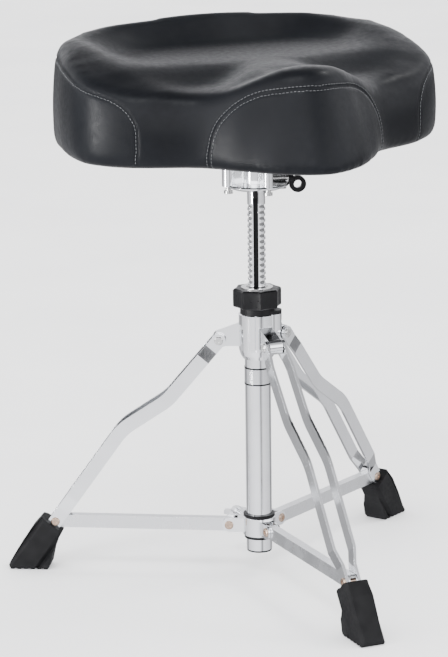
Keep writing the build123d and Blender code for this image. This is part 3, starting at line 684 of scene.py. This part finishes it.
# ---------------------------------------------------------------- studio
CAMERA_PLACE = (-1.3212, -2.8884, 1.0395)
CAMERA_RIGHT = Vector((0.9129, -0.4080, -0.0121)).normalized()
CAMERA_BACK = Vector((-0.3943, -0.8891, 0.2326)).normalized()
CAMERA_LENS = 162.35
CAMERA_SENSOR = 36.0


def make_camera():
    """The photo's camera, turned so that its axes point right, up and backwards."""
    up = CAMERA_BACK.cross(CAMERA_RIGHT).normalized()
    data = bpy.data.cameras.new("camera")
    data.sensor_width = CAMERA_SENSOR
    data.lens = CAMERA_LENS
    data.clip_start = 0.05
    data.clip_end = 100.0
    camera = bpy.data.objects.new("camera", data)
    turn = Matrix((CAMERA_RIGHT, up, CAMERA_BACK)).transposed().to_4x4()
    camera.matrix_world = Matrix.Translation(CAMERA_PLACE) @ turn
    bpy.context.scene.collection.objects.link(camera)
    bpy.context.scene.camera = camera


def area_light(name, place, target, size, power, colour=(1, 1, 1), angle=180):
    """A rectangular light aimed at a point; angle is how wide it shines, in degrees."""
    data = bpy.data.lights.new(name, "AREA")
    data.shape = "RECTANGLE"
    data.size, data.size_y = size
    data.energy = power
    data.spread = math.radians(angle)
    data.color = colour
    light = bpy.data.objects.new(name, data)
    light.location = place
    light.rotation_euler = (Vector(target) - Vector(place)).to_track_quat("-Z", "Y").to_euler()
    bpy.context.scene.collection.objects.link(light)


# What the chrome reflects: brightness by height, from straight down (0) to straight up (1), and by bearing,
# once round (0 to 1) from the -x side by way of the front. There are dark gaps just under the horizon and
# between the pale panels.
LEVELS = [(0.0, 1.6), (0.32, 1.6), (0.405, 1.2), (0.445, 0.10), (0.493, 0.06), (0.512, 0.9), (0.54, 3.8),
          (0.71, 3.8), (0.80, 1.7), (0.87, 0.75), (0.93, 0.75), (0.965, 0.14)]
LEVEL_GAIN = (1 / 8, 1 / 8, 0.13)           # a level's red, green and blue
PANELS = [(0.0, 1.3), (0.115, 1.6), (0.205, 1.5), (0.232, 0.8), (0.250, 0.16), (0.268, 0.8),
          (0.300, 1.2), (0.433, 0.95), (0.500, 0.80), (0.520, 0.30), (0.545, 0.22), (0.575, 0.50),
          (0.683, 0.45), (0.790, 0.60), (0.825, 0.40), (0.850, 0.22), (0.875, 0.9), (1.0, 1.3)]
PANEL_GAIN = (1 / 1.6,) * 3
REFLECTED_STRENGTH = 12.8
SEEN_STRENGTH = 2.9


def make_world():
    """White studio: plain for the camera and for diffuse light, banded and panelled in reflections."""
    world = bpy.data.worlds.new("studio")
    world.use_nodes = True
    tree = world.node_tree
    tree.nodes.clear()

    def node(kind, inputs, **settings):
        return add_node(tree, kind, inputs, settings)

    def graded(value, low, high, keys, gain):
        """A value between low and high, turned into the brightness that the keys give."""
        part = node("MapRange", {"Value": value, "From Min": low, "From Max": high}).outputs["Result"]
        ramp = node("ValToRGB", {"Fac": part})
        stops = ramp.color_ramp.elements
        for place, _ in keys[1:-1]:
            stops.new(place)
        for stop, (place, level) in zip(stops, keys):
            stop.position = place
            stop.color = (*(level * g for g in gain), 1)
        return ramp.outputs["Color"]

    split = node("SeparateXYZ", {0: node("TexCoord", {}).outputs["Generated"]})
    bearing = node("Math", {0: split.outputs["Y"], 1: split.outputs["X"]}, operation="ARCTAN2").outputs[0]
    height = graded(split.outputs["Z"], -1.0, 1.0, LEVELS, LEVEL_GAIN)
    panels = graded(bearing, -math.pi, math.pi, PANELS, PANEL_GAIN)
    shade = node("Mix", {"Factor": 1.0, "A": height, "B": panels}, data_type="RGBA", blend_type="MULTIPLY")
    reflected = node("Background", {"Color": shade.outputs["Result"], "Strength": REFLECTED_STRENGTH})
    seen = node("Background", {"Color": (1, 1, 1, 1), "Strength": SEEN_STRENGTH})
    path = node("LightPath", {})
    plain = node("Math", {0: path.outputs["Is Camera Ray"], 1: path.outputs["Is Diffuse Ray"]},
                 operation="MAXIMUM")
    pick = node("MixShader", {0: plain.outputs[0], 1: reflected.outputs[0], 2: seen.outputs[0]})
    node("OutputWorld", {"Surface": pick.outputs[0]})
    bpy.context.scene.world = world


FLOOR_RADIUS = 14.0
FLOOR_Z = -0.0002           # just under the rubber feet
FLOOR_RINGS, FLOOR_SPOKES = 6, 72


def make_floor():
    """A round floor whose rings lie closer together near the object."""
    verts, faces = [], []
    for i in range(FLOOR_RINGS + 1):
        for k in range(FLOOR_SPOKES):
            a = 2 * math.pi * k / FLOOR_SPOKES
            r = FLOOR_RADIUS * (i / FLOOR_RINGS) ** 1.5
            verts.append((r * math.cos(a), r * math.sin(a), FLOOR_Z))
    for i in range(FLOOR_RINGS):
        for k in range(FLOOR_SPOKES):
            n = (k + 1) % FLOOR_SPOKES
            a, b = i * FLOOR_SPOKES, (i + 1) * FLOOR_SPOKES
            faces.append((a + k, b + k, b + n, a + n))
    floor = add_mesh("studio_floor", verts, faces, floor_paint())
    floor.visible_glossy = False


def make_lights():
    """Two soft lamps above and a narrow strip low on the left."""
    area_light("key_left", (-1.0, -1.3, 2.7), (0, 0, 0.35), (0.8, 0.6), 34, (0.94, 0.97, 1.0))
    area_light("key_right", (2.1, 0.2, 2.8), (0, 0, 0.35), (0.8, 0.6), 30)
    area_light("left_strip", (-1.75, -0.30, 0.40), (0, 0, 0.48), (0.22, 0.8), 2.3, angle=36)


# ---------------------------------------------------------------- build
make_camera()
make_world()
make_lights()
make_floor()
dress_frame()
make_seat()
